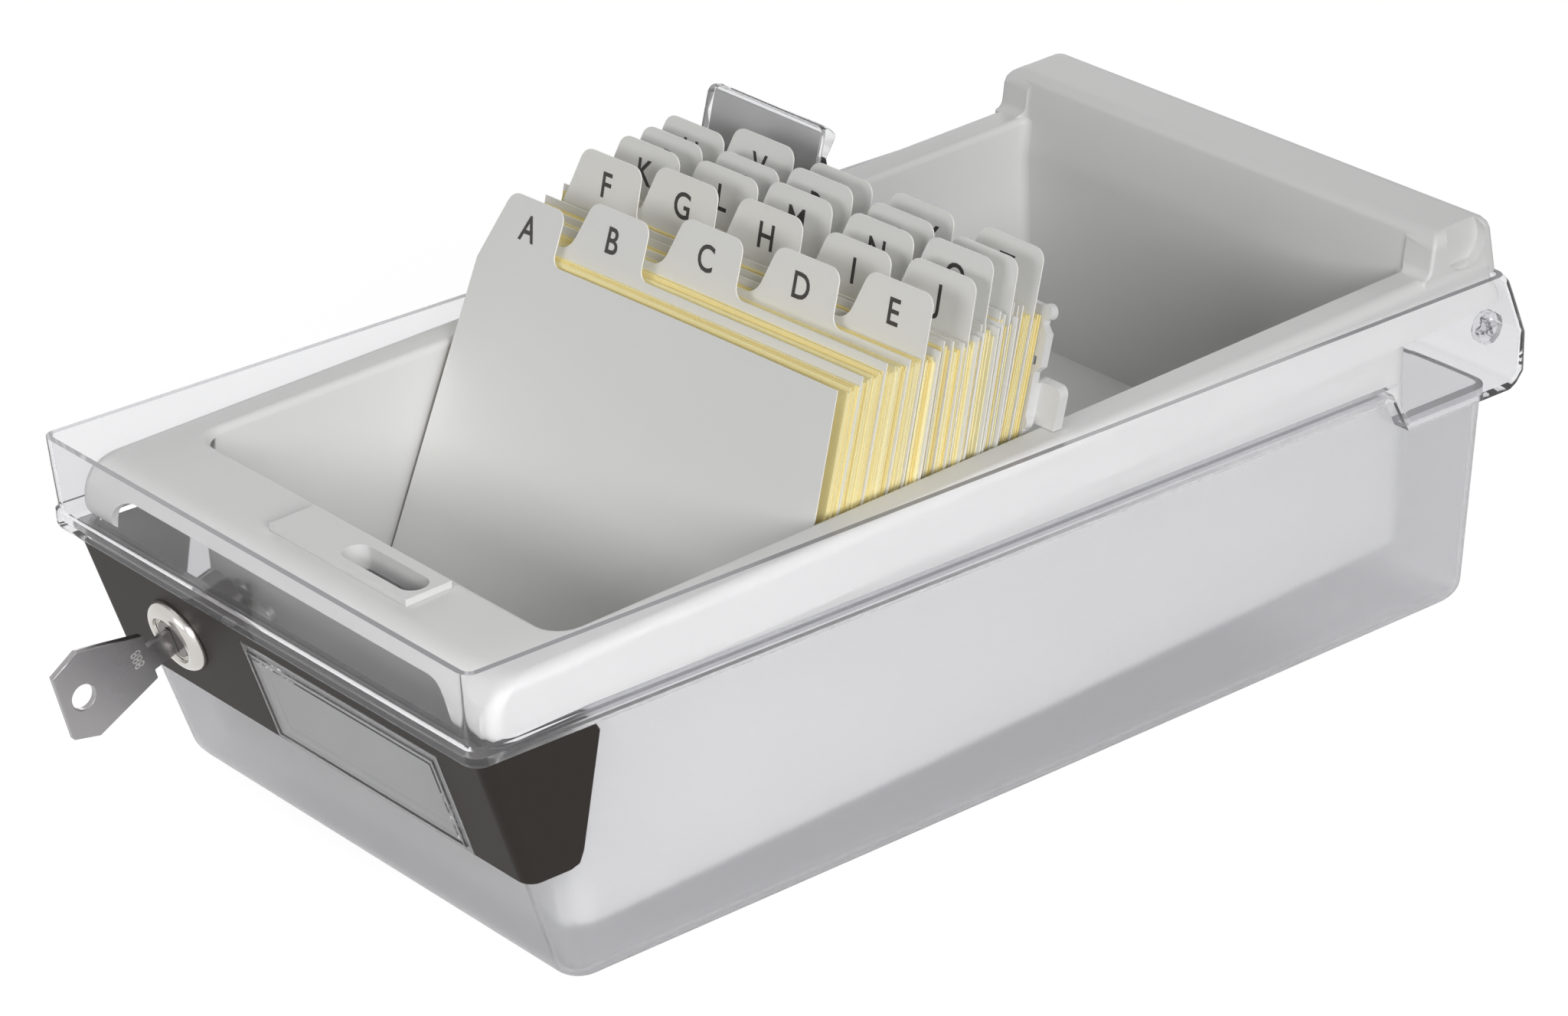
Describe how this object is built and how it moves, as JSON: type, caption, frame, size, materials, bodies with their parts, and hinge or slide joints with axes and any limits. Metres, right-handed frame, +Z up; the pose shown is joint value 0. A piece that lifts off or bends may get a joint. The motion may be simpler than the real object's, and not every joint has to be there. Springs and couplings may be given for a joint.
{
  "type": "index card drawer",
  "caption": "Lockable index card drawer: grey A6 card tray standing in its clear cover, with lettered guides, cards, support, sign and keyed front lock.",
  "frame": {"origin": "middle of the cover's flat underside, on the surface that it stands on", "axes": "+Z up, +Y towards the rear cap, the lock side faces -Y, +X to the right seen from the front"},
  "size_m": [0.182, 0.4105, 0.1576],
  "materials": {
    "clear_cover": "frosted",
    "clear_window": "gloss",
    "tray_plastic": "satin",
    "support_plastic": "satin",
    "brown_panel": "satin",
    "label_paper": "matte",
    "lock_chrome": "polished",
    "lock_brass": "satin",
    "zinc": "satin",
    "key_steel": "satin",
    "guide_plastic": "satin",
    "card_paper": "matte"
  },
  "bodies": {
    "cover": {"cover_shell": "clear_cover", "front_panel": "brown_panel", "label_card": "label_paper", "lock_housing": "lock_chrome", "lock_nut": "zinc"},
    "window": {"label_window": "clear_window"},
    "lock_core": {"lock_plug": "lock_brass", "lock_wafers": "lock_brass", "lock_cam": "zinc", "cam_screw": "zinc"},
    "key": {"key": "key_steel"},
    "tray": {"tray_shell": "tray_plastic", "tray_rim": "tray_plastic", "striker_plate": "tray_plastic", "guides_b_e": "guide_plastic", "guides_f_j": "guide_plastic", "guides_k_o": "guide_plastic", "guides_p_t": "guide_plastic", "guides_u_z": "guide_plastic", "cards_a_e": "card_paper", "cards_f_j": "card_paper", "cards_k_o": "card_paper", "cards_p_t": "card_paper", "cards_u_z": "card_paper"},
    "first_guide": {"guide_a": "guide_plastic"},
    "support": {"card_support": "support_plastic"},
    "sign": {"sign_holder": "clear_window", "sign_insert": "label_paper"}
  },
  "joints": [
    {"name": "lock_turn", "type": "hinge", "parent": "cover", "child": "lock_core", "pos_m": [-0.05, -0.17489, 0.06044], "axis": [0, -0.9444, -0.3289], "range_deg": [0, 90]},
    {"name": "key_slide", "type": "slide", "parent": "lock_core", "child": "key", "axis": [0, -0.9444, -0.3289], "range_m": [0, 0.03]},
    {"name": "window_clip", "type": "slide", "parent": "cover", "child": "window", "axis": [0, -0.9444, -0.3289], "range_m": [0, 0.012]},
    {"name": "tray_lift", "type": "slide", "parent": "cover", "child": "tray", "axis": [0, 0, 1], "range_m": [0, 0.12]},
    {"name": "guide_a_tip", "type": "hinge", "parent": "tray", "child": "first_guide", "pos_m": [0, -0.0872, 0.0386], "axis": [1, 0, 0], "range_deg": [0, 38]},
    {"name": "support_slide", "type": "slide", "parent": "tray", "child": "support", "axis": [0, 0.9992, 0.0405], "range_m": [0, 0.1]},
    {"name": "sign_lift", "type": "slide", "parent": "support", "child": "sign", "axis": [0, 0.2317, 0.9728], "range_m": [0, 0.03]}
  ]
}
